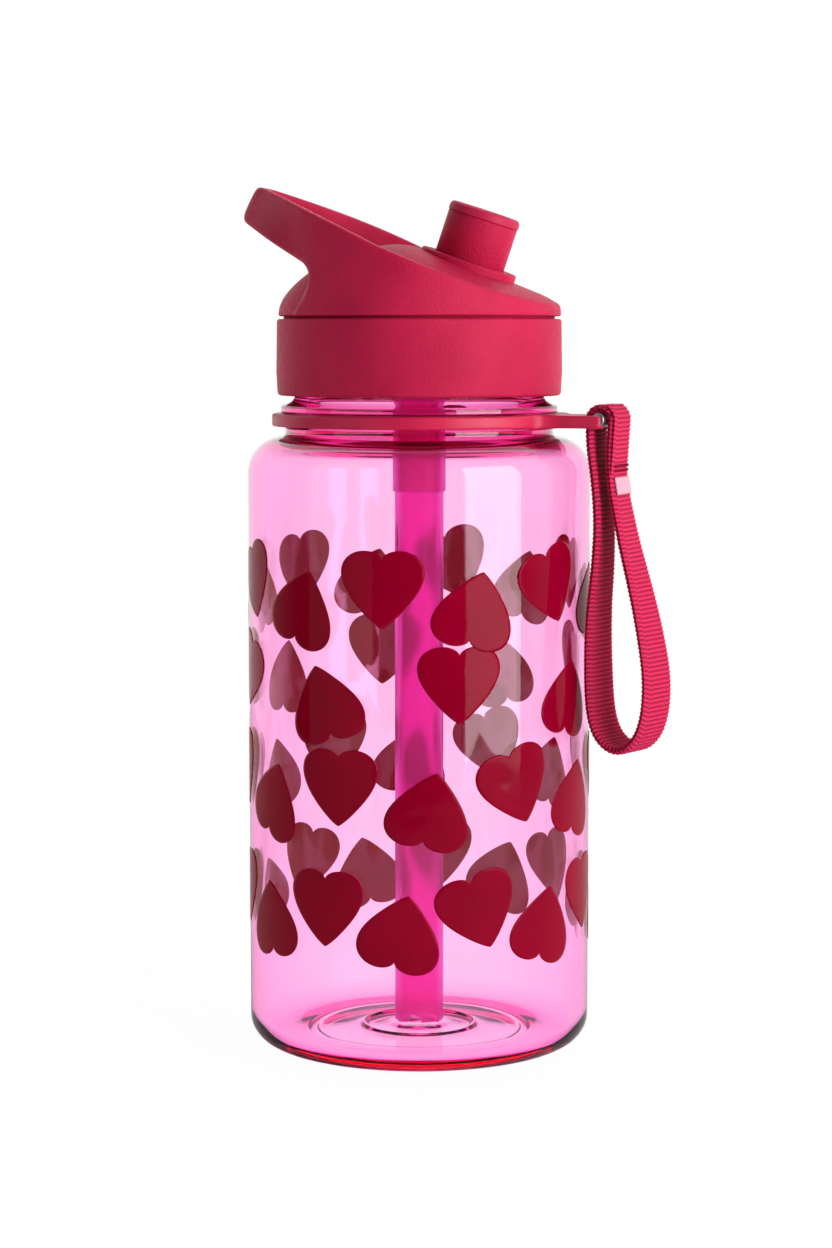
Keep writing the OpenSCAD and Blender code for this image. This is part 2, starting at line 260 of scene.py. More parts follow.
def field_mesh(field, low, high, step):
    """Surface nets: one point in each cell that the surface crosses, then pulled onto it."""
    axes = [np.arange(a, b + step, step) for a, b in zip(low, high)]
    x, y, z = np.meshgrid(*axes, indexing="ij")
    d = field(x, y, z)
    inside = d < 0
    nx, ny, nz = (s - 1 for s in d.shape)
    corners = [(i, j, k) for i in (0, 1) for j in (0, 1) for k in (0, 1)]

    def window(g, c):
        return g[c[0] : c[0] + nx, c[1] : c[1] + ny, c[2] : c[2] + nz]

    count = sum(window(inside, c).astype(np.int8) for c in corners)
    active = (count > 0) & (count < 8)
    index = -np.ones(active.shape, int)
    index[active] = np.arange(active.sum())
    total = np.zeros((active.sum(), 3))
    hits = np.zeros(active.sum())
    for a in corners:
        for axis in range(3):
            if a[axis]:
                continue
            b = tuple(a[n] + (n == axis) for n in range(3))
            da, db = window(d, a)[active], window(d, b)[active]
            cross = (da < 0) != (db < 0)
            t = np.where(cross, da / np.where(cross, da - db, 1), 0)
            p = np.tile(np.array(a, float), (len(t), 1))
            p[:, axis] += t
            total[cross] += p[cross]
            hits[cross] += 1
    cell = np.argwhere(active)
    points = np.array(low) + (cell + total / hits[:, None]) * step
    for _ in range(4):
        gap = field(*points.T)
        e = step * 0.05
        slope = np.stack(
            [
                (field(*(points + e * np.eye(3)[n]).T) - field(*(points - e * np.eye(3)[n]).T)) / (2 * e)
                for n in range(3)
            ],
            axis=1,
        )
        move = gap[:, None] * slope / np.maximum((slope**2).sum(1), 0.05)[:, None]
        points -= np.clip(move, -step / 2, step / 2) * 0.9
    faces = []
    for axis in range(3):
        u, v = (axis + 1) % 3, (axis + 2) % 3
        flip = np.diff(inside.astype(np.int8), axis=axis)
        edges = np.argwhere(flip != 0)
        keep = (edges[:, u] > 0) & (edges[:, v] > 0)
        keep &= (edges[:, u] < active.shape[u]) & (edges[:, v] < active.shape[v])
        edges = edges[keep]
        sign = flip[tuple(edges.T)]
        ring = []
        for du, dv in ((0, 0), (1, 0), (1, 1), (0, 1)):
            c = edges.copy()
            c[:, u] -= du
            c[:, v] -= dv
            ring.append(index[tuple(c.T)])
        quads = np.stack(ring, axis=1)
        quads[sign > 0] = quads[sign > 0][:, ::-1]
        faces.append(quads)
    return points.tolist(), np.concatenate(faces).tolist()


# ---------------------------------------------------------------- materials
def material(name, colour, rough, **sockets):
    """A principled material; sockets are given as words, such as Coat_Weight=0.2."""
    mat = bpy.data.materials.new(name)
    mat.use_nodes = True
    shader = mat.node_tree.nodes["Principled BSDF"]
    shader.inputs["Base Color"].default_value = (*colour, 1)
    shader.inputs["Roughness"].default_value = rough
    for key, value in sockets.items():
        shader.inputs[key.replace("_", " ")].default_value = value
    return mat, shader


def node(mat, kind, **values):
    made = mat.node_tree.nodes.new("ShaderNode" + kind)
    for key, value in values.items():
        if hasattr(made, key):
            setattr(made, key, value)
        else:
            made.inputs[key.replace("_", " ")].default_value = value
    return made


def place(mat):
    """Coordinates that stay with the piece: the row frame at rest, in metres."""
    return node(mat, "TexCoord").outputs["Object"]


def noise(mat, scale, detail=3.0, rough=0.5):
    made = node(mat, "TexNoise", Scale=scale, Detail=detail, Roughness=rough)
    mat.node_tree.links.new(place(mat), made.inputs["Vector"])
    return made.outputs["Fac"]


def spread(mat, value, low, high, to_low, to_high):
    made = node(mat, "MapRange")
    for key, v in (("From Min", low), ("From Max", high), ("To Min", to_low), ("To Max", to_high)):
        made.inputs[key].default_value = v
    mat.node_tree.links.new(value, made.inputs["Value"])
    return made.outputs["Result"]


def blend_colours(mat, value, dark, light):
    ramp = node(mat, "ValToRGB")
    ramp.color_ramp.elements[0].color = (*dark, 1)
    ramp.color_ramp.elements[1].color = (*light, 1)
    mat.node_tree.links.new(value, ramp.inputs["Fac"])
    return ramp.outputs["Color"]


def add_bump(mat, shader, value, strength, depth):
    bump = node(mat, "Bump", Strength=strength, Distance=depth)
    mat.node_tree.links.new(value, bump.inputs["Height"])
    mat.node_tree.links.new(bump.outputs["Normal"], shader.inputs["Normal"])


def moulded(name, colour, rough, grain, strength, spread_by=0.08, **sockets):
    """Moulded plastic: a fine spark-eroded grain and slight mottling."""
    mat, shader = material(name, colour, rough, **sockets)
    links = mat.node_tree.links
    dark = [c * (1 - spread_by) for c in colour]
    light = [min(1, c * (1 + spread_by) + 0.004) for c in colour]
    tone = blend_colours(mat, spread(mat, noise(mat, 60, 2), 0.35, 0.65, 0, 1), dark, light)
    links.new(tone, shader.inputs["Base Color"])
    sheen = spread(mat, noise(mat, grain / 3, 2), 0.3, 0.7, rough - 0.05, rough + 0.07)
    links.new(sheen, shader.inputs["Roughness"])
    add_bump(mat, shader, noise(mat, grain, 2.5, 0.6), strength, 0.00018)
    return mat


def clear_plastic():
    """Tinted clear plastic: its colour deepens with the length of wall looked through, and at the neck."""
    mat, shader = material(
        "clear_pink", (1.0, 0.985, 0.995), 0.012, Transmission_Weight=1.0, IOR=1.28,
        Coat_Roughness=0.03,
    )
    polish = node(mat, "Attribute", attribute_name="polish")
    mat.node_tree.links.new(polish.outputs["Fac"], shader.inputs["Coat Weight"])
    depth = node(mat, "Attribute", attribute_name="depth")
    tint = blend_colours(mat, depth.outputs["Fac"], (1.0, 0.985, 0.995), (0.8, 0.12, 0.36))
    mat.node_tree.links.new(tint, shader.inputs["Base Color"])
    volume = node(mat, "VolumeAbsorption", Color=(1.0, 0.2, 0.74, 1), Density=210.0)
    out = mat.node_tree.nodes["Material Output"]
    mat.node_tree.links.new(volume.outputs["Volume"], out.inputs["Volume"])
    return mat


def straw_plastic():
    mat, shader = material(
        "straw_plastic", (1.0, 0.14, 0.66), 0.3, Transmission_Weight=0.85, IOR=1.15
    )
    add_bump(mat, shader, noise(mat, 900, 1.5), 0.12, 0.0001)
    return mat


def heart_ink():
    """Screen ink: glossy and dense, yet a little light comes through it."""
    mat, shader = material("heart_ink", (0.3, 0.0, 0.02), 0.06, Specular_IOR_Level=0.09)
    tone = blend_colours(
        mat, spread(mat, noise(mat, 45, 2), 0.35, 0.65, 0, 1), (0.27, 0.0, 0.02), (0.33, 0.0, 0.026)
    )
    links = mat.node_tree.links
    links.new(tone, shader.inputs["Base Color"])
    add_bump(mat, shader, noise(mat, 1500, 1.5), 0.04, 0.00005)
    through = node(mat, "BsdfTranslucent", Color=(1.0, 0.0, 0.14, 1))
    mix = node(mat, "MixShader", Fac=0.26)
    out = mat.node_tree.nodes["Material Output"]
    links.new(shader.outputs[0], mix.inputs[1])
    links.new(through.outputs[0], mix.inputs[2])
    links.new(mix.outputs[0], out.inputs["Surface"])
    return mat


def webbing(name, dark, light):
    """Dyed polyester yarn with random fibre tone and painted shade: the attribute read here is 0 in the
    furrows and 1 on the ribs, and the furrows take the dark colour.
    """
    mat, shader = material(name, light, 0.75, Specular_IOR_Level=0.12)
    links = mat.node_tree.links
    fibre = noise(mat, 5200, 3, 0.7)
    # Painted shade: the rib height darkens the furrows, on top of the random fibre tone.
    rib_shade = node(mat, "Attribute", attribute_name="rib_shade")
    both = node(mat, "Math", operation="MULTIPLY_ADD")
    both.inputs[1].default_value = 0.5
    links.new(fibre, both.inputs[0])
    links.new(rib_shade.outputs["Fac"], both.inputs[2])
    tone = blend_colours(mat, spread(mat, both.outputs[0], 0.25, 1.15, 0, 1), dark, light)
    links.new(tone, shader.inputs["Base Color"])
    add_bump(mat, shader, fibre, 0.6, 0.0002)
    return mat


def floor_paint():
    """Matt white table, lit from below where it is looked at."""
    mat, shader = material("floor", (0.8, 0.8, 0.8), 0.6, Specular_IOR_Level=0.2)
    add_bump(mat, shader, noise(mat, 30, 2), 0.02, 0.0002)
    links = mat.node_tree.links
    glow = node(mat, "Emission", Color=(1, 1, 1, 1))
    path = node(mat, "LightPath")
    seen = node(mat, "Math", operation="MAXIMUM")
    share = node(mat, "Math", operation="MULTIPLY")
    share.inputs[1].default_value = 0.95
    mix = node(mat, "MixShader")
    links.new(path.outputs["Is Camera Ray"], seen.inputs[0])
    capped = node(mat, "Math", operation="MINIMUM")
    capped.inputs[1].default_value = 1.0
    brighter = node(mat, "Math", operation="MULTIPLY_ADD")
    brighter.inputs[1].default_value = 0.13
    brighter.inputs[2].default_value = 1.02
    links.new(path.outputs["Transmission Depth"], capped.inputs[0])
    links.new(capped.outputs[0], brighter.inputs[0])
    links.new(brighter.outputs[0], glow.inputs["Strength"])
    links.new(capped.outputs[0], seen.inputs[1])
    links.new(seen.outputs[0], share.inputs[0])
    share.use_clamp = True
    links.new(share.outputs[0], mix.inputs[0])
    links.new(shader.outputs[0], mix.inputs[1])
    links.new(glow.outputs[0], mix.inputs[2])
    links.new(mix.outputs[0], mat.node_tree.nodes["Material Output"].inputs["Surface"])
    return mat


def metal():
    mat, shader = material("metal", (0.35, 0.32, 0.32), 0.32, Metallic=1.0)
    add_bump(mat, shader, noise(mat, 2500, 2), 0.1, 0.0001)
    return mat


# ---------------------------------------------------------------- bottle
def add_bottle(clear, ink):
    """Clear body: one closed wall turned about the axis, with its thread joined on."""
    inner_r = BODY_R - WALL
    outer = (
        [(0, 1.0), (21.5, 1.0)]
        + arc(23.2, -0.2, 1.2, 135, 100, 2)
        + [(24.4, 0.25), (25.2, 0.0), (30.5, 0.0)]
        + arc(BODY_R - CORNER_R, CORNER_R, CORNER_R, -88, 0, 14)
        + [(BODY_R, 40), (BODY_R, 80)]
        + arc(BODY_R - SHOULDER_R, SHOULDER_Z, SHOULDER_R, 0, 84, 14)
        + arc(30.2, 134.9, 0.9, 260, 180, 4)
        + [(29.3, 135.5)]
        + rounded([(29.3, 135.9, 0), (28.9, 136.0, 0), (28.7, 136.2, 0)])
        + arc(29.0, BEAD_Z - 0.3, 0.3, 180, 90, 3)
        + arc(BEAD_R - 0.5, BEAD_Z + 0.5, 0.5, -90, 0, 4)
        + arc(BEAD_R - 0.6, BEAD_Z + 1.2, 0.6, 0, 70, 4)
        + [(28.4, BEAD_Z + 2.35), (27.8, BEAD_Z + 2.75), (NECK_R, BEAD_Z + 3.4), (NECK_R, 150)]
        + arc(NECK_R - 0.7, RIM_Z - 0.7, 0.7, 0, 90, 4)
    )
    inner = (
        arc(NECK_BORE_R + 0.7, RIM_Z - 0.7, 0.7, 90, 180, 4)
        + [(NECK_BORE_R, 145)]
        + arc(NECK_BORE_R + 2.2, 134.1, 2.2, 180, 262, 6)
        + arc(BODY_R - SHOULDER_R, SHOULDER_Z, SHOULDER_R - WALL, 86, 0, 12)
        + [(inner_r, 80), (inner_r, 40)]
        + arc(inner_r - 4, FLOOR_Z + 4, 4, 0, -88, 10)
        + [(20, FLOOR_Z), (13.4, FLOOR_Z)]
        + [(12.9, FLOOR_Z + 0.15), (12.6, FLOOR_Z + 0.45), (12.2, FLOOR_Z + 0.55)]
        + [(11.8, FLOOR_Z + 0.45), (11.5, FLOOR_Z + 0.15), (11.0, FLOOR_Z)]
        + [(5.5, FLOOR_Z), (4.8, FLOOR_Z + 0.3), (4.2, FLOOR_Z), (0, FLOOR_Z)]
    )
    verts, faces = lathe(outer + inner, 224, closed=False)
    body = new_piece("bottle_wall", verts, faces, clear, "bottle")
    polish = body.data.attributes.new("polish", "FLOAT", "POINT")
    points = [v.co / MM for v in body.data.vertices]
    shine = [
        float(math.hypot(x, y) > wall_middle(z)) * np.interp(z, [6, 14, 126, 131], [0.0, 0.35, 0.35, 0.6])
        for x, y, z in points
    ]
    polish.data.foreach_set("value", shine)
    depth = body.data.attributes.new("depth", "FLOAT", "POINT")
    tint = np.interp([z for x, y, z in points], [131, 134, 136, 141, 158], [0.0, 1.0, 0.6, 0.22, 0.22])
    depth.data.foreach_set("value", tint)
    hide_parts("bottle_body")
    thread = new_piece("neck_thread", *thread_rib(NECK_R - 0.02, NECK_R + 1.1, THREAD_Z, 0), clear, "bottle")
    add_hearts(ink)


def wall_middle(z):
    """Distance from the axis of the middle of the wall at a height."""
    if z < FLOOR_Z + 6:
        return BODY_R - WALL / 2 if z > FLOOR_Z - 1 else 0.0
    if z < SHOULDER_Z:
        return BODY_R - WALL / 2
    return np.interp(z, [SHOULDER_Z, 131, 134, 136, RIM_Z], [36.5, 33.5, 27.2, 26.4, 26.2])


def thread_rib(root_r, crest_r, z0, turn_from, turns=1.25, lead=THREAD_LEAD):
    """A rounded helical rib that fades out at both ends."""
    steps, across = 150, 8
    verts, faces = [], []
    for i in range(steps + 1):
        a = TAU * turns * i / steps
        fade = min(1.0, min(i, steps - i) / 12)
        fade = fade * fade * (3 - 2 * fade)
        for k in range(across + 1):
            t = k / across * math.pi
            r = root_r + (crest_r - root_r) * math.sin(t) ** 0.6 * fade
            z = z0 + lead * turns * i / steps - math.cos(t) * 1.1
            verts.append((r * math.cos(a + turn_from), r * math.sin(a + turn_from), z))
    row = across + 1
    for i in range(steps):
        for k in range(row):
            m = (k + 1) % row
            faces.append([i * row + k, i * row + m, (i + 1) * row + m, (i + 1) * row + k])
    return verts, faces


# height, count and angle of the first heart of each row
HEART_ROWS = [(101, 12, -90), (81, 8, -65), (59, 12, -105), (33, 14, -110)]
HEART_DROP = 6.0
HEART_LEAN = 18.0
LEAN_STEP = 137.0


def heart_places():
    """Angle, height and lean of each heart: every second one is upside down and a little lower."""
    for height, count, first in HEART_ROWS:
        for i in range(count):
            turned = i % 2
            lean = HEART_LEAN * math.sin(math.radians(LEAN_STEP * i)) + 180 * turned
            yield first + 360 * i / count, height + HEART_DROP * (0.5 - turned), lean


def heart_outline(width, points=72):
    outline = []
    for i in range(points):
        t = TAU * i / points
        s = math.sin(t)
        x = 16 * math.copysign(abs(s) ** (2.3 + 0.65 * math.cos(t)), s)
        y = 14.2 * math.cos(t) - 4 * math.cos(2 * t) - 1.3 * math.cos(3 * t) - 0.6 * math.cos(4 * t) + 1.5
        outline.append((x * width / 32, y * width / 32))
    return outline


def add_hearts(ink, width=18, film=0.09, gap=0.02):
    """Screen-printed hearts: thin closed films that follow the curve of the wall."""
    outline = heart_outline(width)
    count = len(outline)
    shares = (0.34, 0.6, 0.8, 0.93, 1.0)
    verts, faces = [], []
    for angle, height, lean in heart_places():
        lean = math.radians(lean)

        def point(x, y, r):
            across = x * math.cos(lean) + y * math.sin(lean)
            up = y * math.cos(lean) - x * math.sin(lean)
            a = math.radians(angle) + across / BODY_R
            return (r * math.cos(a), r * math.sin(a), height + up)

        layers = [(s, BODY_R + gap + film) for s in shares] + [
            (s, BODY_R + gap) for s in reversed(shares)
        ]
        top = len(verts)
        verts.append(point(0, 0, BODY_R + gap + film))
        for share, r in layers:
            verts.extend(point(x * share, y * share, r) for x, y in outline)
        bottom = len(verts)
        verts.append(point(0, 0, BODY_R + gap))

        def ring(k, i):
            return top + 1 + k * count + i % count

        for i in range(count):
            faces.append([top, ring(0, i + 1), ring(0, i)])
            faces.append([bottom, ring(len(layers) - 1, i), ring(len(layers) - 1, i + 1)])
            for k in range(len(layers) - 1):
                faces.append([ring(k, i), ring(k, i + 1), ring(k + 1, i + 1), ring(k + 1, i)])
    hearts = new_piece("printed_hearts", verts, faces, ink, "bottle")
    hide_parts("heart_print")


# ---------------------------------------------------------------- lid
def add_collar(plastic):
    bore_r = NECK_R + 1.5
    profile = rounded(
        [
            (bore_r, COLLAR_Z + 0.1, 0.3), (COLLAR_R - 0.25, COLLAR_Z, 0.8),
            (COLLAR_R + 0.02, COLLAR_Z + 5, 2), (COLLAR_R - 0.15, SEAM_Z, 0.55),
            (29.6, SEAM_Z, 0), (29.6, SEAM_Z + 2.4, 0.2), (bore_r, SEAM_Z + 2.4, 0.2),
        ],
        5,
    )
    verts, faces = lathe(profile, 224)
    collar = new_piece("collar_skirt", verts, faces, plastic, "lid")
    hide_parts("screw_collar")
    rib = new_piece(
        "collar_thread", *thread_rib(bore_r + 0.02, NECK_R + 0.4, 144.2, math.radians(60)), plastic, "lid"
    )


def plan_distance(x, y, inset=0.0):
    """Distance to the lid's plan outline: the dome's circle drawn out to the loop's nose."""
    r1, r2 = DOME_R - inset, LOOP_NOSE_R - inset
    h = LOOP_REACH - LOOP_NOSE_R
    px, py = np.abs(y), -x
    b = (r1 - r2) / h
    a = math.sqrt(1 - b * b)
    k = -b * px + a * py
    round_big = length(px, py) - r1
    round_small = length(px, py - h) - r2
    side = a * px + b * py - r1
    return np.where(k < 0, round_big, np.where(k > a * h, round_small, side))


def rim_height(x):
    """Height of the crease that runs from the front of the lid up to the loop's tip."""
    ahead = np.maximum(x - 5, 0)
    crown = np.maximum(1 - ((x + 21) / 18) ** 2, 0)
    return 171.2 - 0.42 * (x - 5) + 0.003 * ahead**2 + 0.75 * crown


def dome_distance(x, y, z, inset):
    radii = (DOME_R - inset, DOME_R - inset, DOME_H - inset)
    q = length(x / radii[0], y / radii[1], (z - FOOT_Z) / radii[2])
    g = length(x / radii[0] ** 2, y / radii[1] ** 2, (z - FOOT_Z) / radii[2] ** 2)
    shell = q * (q - 1) / np.maximum(g, 1e-4)
    h = x * math.sin(TOP_SLOPE) + (z - FOOT_Z - radii[2] + 0.5) * math.cos(TOP_SLOPE)
    crown = length(y, h + CROWN_R) - CROWN_R
    fall = -0.643 * (x + 26.3) + 0.766 * (z - 167.0) + inset
    return smooth_max(smooth_max(shell, crown, 2.5), fall, 2.0)


def lid_distance(x, y, z):
    lean = np.clip((-x - 20) / 14, 0, 1)
    leaning_x = x - 0.5 * (z - 181.5) * lean * lean * (3 - 2 * lean)
    plan = plan_distance(leaning_x, y)
    band = smooth_max(plan, -plan_distance(leaning_x, y, LOOP_T), 0.5)
    top = (z - rim_height(x)) * math.cos(TOP_SLOPE)
    under = -0.472 * (x + 20.5) - 0.882 * (z - 171.1)
    drop = np.maximum(168.5 - z, 0) / 8.5
    rear = -19.0 - 3.9 * drop**1.6 - x
    side = smooth_min(under, rear, 2.2)
    tip = (-LOOP_REACH - leaning_x) * 0.9
    top = smooth_max(top, tip, 2.6)
    side = smooth_max(side, tip, 3.0)
    cheeks = smooth_max(smooth_max(band, top, 0.9), side, 1.1)
    dome = dome_distance(x, y, z, 0)
    solid = smooth_min(cheeks, dome, 1.0)
    solid = smooth_max(solid, FOOT_Z - z, 0.5)
    hollow = dome_distance(x, y, z, 2.2)
    rebate = np.maximum(length(x, y) - 29.65, z - 162.5)
    solid = smooth_max(solid, -np.minimum(hollow, rebate), 0.3)
    c, s = math.cos(SPOUT_TILT), math.sin(SPOUT_TILT)
    dx, dz = x - SPOUT_AT[0], z - SPOUT_AT[2]
    along, off = dx * s + dz * c, length(dx * c - dz * s, y)
    solid = np.maximum(solid, -np.maximum(off - FLANGE_R + 0.4, -3.0 - along))
    return np.maximum(solid, 0.8 - length(x + 15, y))


def add_lid(plastic):
    low, high = (-41.5, -32.5, 158.5), (32.5, 32.5, 190.5)
    verts, faces = field_mesh(lid_distance, low, high, 0.42)
    dome = new_piece("dome_and_loop", verts, faces, plastic, "lid")
    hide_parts("lid_dome")


def add_spout(plastic, soft):
    tube = rounded(
        [
            (2.5, 8.2, 0.2), (2.5, SPOUT_H - 2, 0), (SPOUT_R, SPOUT_H - 2, 0.25), (SPOUT_R, STOP_Z, 0),
            (5.6, STOP_Z, 0.2), (5.6, 8.2, 0.5),
        ],
        4,
    )
    root_r, bevel, top = SPOUT_R - 0.1, 0.1, STOP_Z + STOP_T
    collar = [
        (root_r, STOP_Z), (STOP_R - bevel, STOP_Z), (STOP_R, STOP_Z + bevel),
        (STOP_R, top - bevel), (STOP_R - bevel, top), (root_r, top),
    ]
    verts, faces = lathe(tube, 128)
    more, extra = lathe(collar, 128)
    faces += [[i + len(verts) for i in f] for f in extra]
    verts += more
    spout = new_piece("spout_tube", moved(verts, ON_SPOUT), faces, plastic, "mouthpiece")
    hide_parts("spout")
    rim = rounded(
        [
            (2.5, SPOUT_H - 2.0, 0), (SPOUT_R, SPOUT_H - 2.0, 0), (SPOUT_R + 0.16, SPOUT_H - 1.85, 0.1),
            (SPOUT_R + 0.02, SPOUT_H, 1.1), (SPOUT_R - 2.2, SPOUT_H - 0.1, 0.6),
            (SPOUT_R - 2.8, SPOUT_H - 1.3, 0.4), (3.4, SPOUT_H - 1.3, 0.4), (3.0, SPOUT_H - 0.3, 0.3),
            (2.5, SPOUT_H - 0.4, 0.25),
        ],
        5,
    )
    verts, faces = lathe(rim, 128)
    tip = new_piece("spout_mouth", moved(verts, ON_SPOUT), faces, soft, "mouthpiece")
    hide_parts("spout_tip")


def flange_distance(x, y, z):
    """The raised disc at the spout's foot, bored for the spout."""
    disc = smooth_max(length(x, y) - FLANGE_R, np.abs(z + 1.35) - 1.35, 0.5)
    bore = 7.8 - length(x, y)
    return smooth_max(disc, bore, 0.25)


def add_flange(plastic):
    verts, faces = field_mesh(flange_distance, (-11.5, -11.5, -3.4), (11.5, 11.5, 0.8), 0.3)
    flange = new_piece("spout_collar", moved(verts, ON_SPOUT), faces, plastic, "lid")
    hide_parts("spout_flange")


# ---------------------------------------------------------------- strap ring and strap
def ring_distance(x, y, z):
    """Flat ring with a forked lug; x points out along the lug."""
    r = length(x, y)
    ring = smooth_max(np.abs(r - RING_R) - 1.55, np.abs(z) - RING_T / 2, 0.5)
    flare = FORK_HALF + 5.5 * np.clip((36.5 - x) / 9, 0, 1) ** 2
    plate = smooth_max(np.abs(y) - flare, np.abs(x - 34) - (BAR_REACH + 1.1 - 34), 1.6)
    plate = smooth_max(plate, np.abs(z) - RING_T / 2, 0.5)
    slot = smooth_max(np.abs(y) - WEB_W / 2 - SLOT_PLAY, BAR_REACH - 3.6 - x, 0.6)
    plate = smooth_max(plate, -slot, 0.4)
    both = smooth_min(ring, plate, 1.0)
    both = smooth_max(both, 29.1 - r, 0.3)
    bar_hole = length(x - BAR_REACH, z - (BAR_Z - RING_Z - RING_T / 2)) - BAR_R
    return np.maximum(both, -np.maximum(bar_hole, np.abs(y) - FORK_HALF + 0.7))


def add_ring(plastic, steel):
    middle = RING_Z + RING_T / 2
    verts, faces = field_mesh(ring_distance, (-33, -33, -1.9), (46, 33, 1.9), 0.36)
    at = ON_LUG @ Matrix.Translation((0, 0, middle))
    ring = new_piece("ring_and_lug", moved(verts, at), faces, plastic, "ring")
    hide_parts("strap_ring")
    half = FORK_HALF - 0.75
    bar = rounded([(0, -half, 0), (BAR_R, -half, 0.35), (BAR_R, half, 0.35), (0, half, 0)], 3)
    verts, faces = lathe(bar, 48, closed=False)
    at = ON_LUG @ Matrix.Translation((BAR_REACH, 0, BAR_Z)) @ Matrix.Rotation(math.pi / 2, 4, "X")
    pin = new_piece("crossbar", moved(verts, at), faces, steel, "ring")
    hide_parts("strap_bar")


def web_line():
    """Middle line of the hanging webbing, as distance from the axis and height."""
    over = arc(BAR_REACH, BAR_Z, BAR_R + 0.15 + WEB_T / 2, 0, 180, 10)
    down = [(41.1, 132), (41.9, 126), (42.5, 120), (42.7, 114), (42.3, 106), (41.4, 97), (41, 87)]
    turn = [(41.4, 77), (42.8, 71.4), (45.3, 68.4), (48.3, 67.4), (51.1, 68.3), (53.6, 71.2)]
    back = [(55, 75.5), (55.4, 80.5), (55, 85.5), (53.8, 91.5), (52.2, 98), (50.4, 104.5)]
    return over + down + turn + back + [(48.6, 111), (47.2, 117), (45.9, 123.5), (45.4, 130)]


def smooth_loop(points, step, closed=True):
    """Evenly spaced points on a Catmull-Rom curve, and its length."""
    p = np.array(points, float)
    n = len(p)
    fine = []
    for i in range(n if closed else n - 1):
        a, b, c, d = (p[(i + k) % n] if closed else p[min(max(i + k, 0), n - 1)] for k in (-1, 0, 1, 2))
        for t in np.linspace(0, 1, 24, endpoint=False):
            fine.append(
                0.5 * (2 * b + (c - a) * t + (2 * a - 5 * b + 4 * c - d) * t**2
                       + (3 * b - a - 3 * c + d) * t**3)
            )
    fine.append(fine[0] if closed else p[-1])
    fine = np.array(fine)
    along = np.concatenate([[0], np.cumsum(np.linalg.norm(np.diff(fine, axis=0), axis=1))])
    count = max(4, round(along[-1] / step))
    at = np.linspace(0, along[-1], count + 1)
    if closed:
        at = at[:-1]
    return np.stack([np.interp(at, along, fine[:, k]) for k in (0, 1)], axis=1), along[-1]


def web_section(phase, width, thick, rib, pitch_shift):
    """Points round one slice of webbing: (outward, across), with ribs and a braided edge."""
    half = width / 2
    faces = np.concatenate([np.linspace(-1, 1, 23), np.linspace(1, -1, 23)])
    side = np.concatenate([np.ones(23), -np.ones(23)])
    u = faces
    wave = np.cos(phase + np.where(side > 0, 0, pitch_shift))
    chevron = np.cos(phase * 2 + np.abs((u * 5.5) % 2 - 1) * math.pi)
    edge = np.clip((np.abs(u) - 0.8) / 0.12, 0, 1)
    body = rib * (0.5 + 0.5 * wave) ** 0.8 + rib * 0.35 * chevron
    braid = rib * 1.5 * (0.5 + 0.5 * np.cos(phase + u * 9))
    lift = body * (1 - edge) + braid * edge
    round_off = np.sqrt(np.clip(1 - np.clip((np.abs(u) - 0.9) / 0.1, 0, 1) ** 2, 0.02, 1))
    out = side * (thick / 2 * round_off - rib + lift * round_off)
    across = u * half + np.sign(u) * edge * rib * 0.8 * np.cos(phase)
    # The third value is the rib height from 0 to 1; it later paints shade into the furrows.
    return out, across, np.clip(lift / (rib * 1.35), 0, 1)


def webbing_strip(line, total, closed, width, thick, rib=0.16, pitch=0.95):
    """A woven strip along a line in the lug's plane."""
    ribs = round(total / pitch)
    n = len(line)
    ahead = np.roll(line, -1, axis=0) - np.roll(line, 1, axis=0)
    if not closed:
        ahead[0], ahead[-1] = line[1] - line[0], line[-1] - line[-2]
    ahead /= np.linalg.norm(ahead, axis=1)[:, None]
    outward = np.stack([ahead[:, 1], -ahead[:, 0]], axis=1)
    verts, faces, rib_shade = [], [], []
    for i in range(n):
        phase = TAU * ribs * i / (n if closed else n - 1)
        out, across, lift = web_section(phase, width, thick, rib, math.pi)
        # The rib height is gathered here to paint shade into the furrows.
        rib_shade.extend(lift)
        for o, a in zip(out, across):
            r, z = line[i] + outward[i] * o
            verts.append(twisted(r, a, z))
    row = len(out)
    for i in range(n if closed else n - 1):
        j = (i + 1) % n
        for k in range(row):
            m = (k + 1) % row
            faces.append([i * row + k, i * row + m, j * row + m, j * row + k])
    if not closed:
        faces.append(list(range(row))[::-1])
        faces.append([(n - 1) * row + k for k in range(row)])
    return verts, faces, rib_shade


def twisted(r, a, z, middle=48.0, most=math.radians(13)):
    """The hanging loop turns a little about the vertical, more towards its foot."""
    t = np.clip((124 - z) / 48, 0, 1)
    w = -most * t * t * (3 - 2 * t)
    return (middle + (r - middle) * math.cos(w) - a * math.sin(w),
            (r - middle) * math.sin(w) + a * math.cos(w), z)


def add_webbing(name, strip, cloth):
    verts, faces, rib_shade = strip
    piece = new_piece(name, moved(verts, ON_LUG), faces, cloth, "strap")
    # The rib height is stored so that the material paints shade into the furrows.
    shade = piece.data.attributes.new("rib_shade", "FLOAT", "POINT")
    shade.data.foreach_set("value", rib_shade)
    return piece


def add_strap(cloth, thread, ribbon):
    step = 0.16
    line, total = smooth_loop(web_line(), step)
    strap = add_webbing("webbing_loop", webbing_strip(line, total, True, WEB_W + 0.4, WEB_T + 0.1), cloth)
    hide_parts("wrist_strap")
    reach = BAR_R + 0.15 + WEB_T + 0.1
    lap_line = [(45.9, 126.6), (46.15, 130), (46.4, 134)] + arc(BAR_REACH, BAR_Z, reach, 0, 62, 5)
    lap, lap_total = smooth_loop(lap_line, step, closed=False)
    over = add_webbing("webbing_lap", webbing_strip(lap, lap_total, False, WEB_W + 0.3, 0.85), cloth)
    add_stitches(thread)
    add_tab(ribbon)


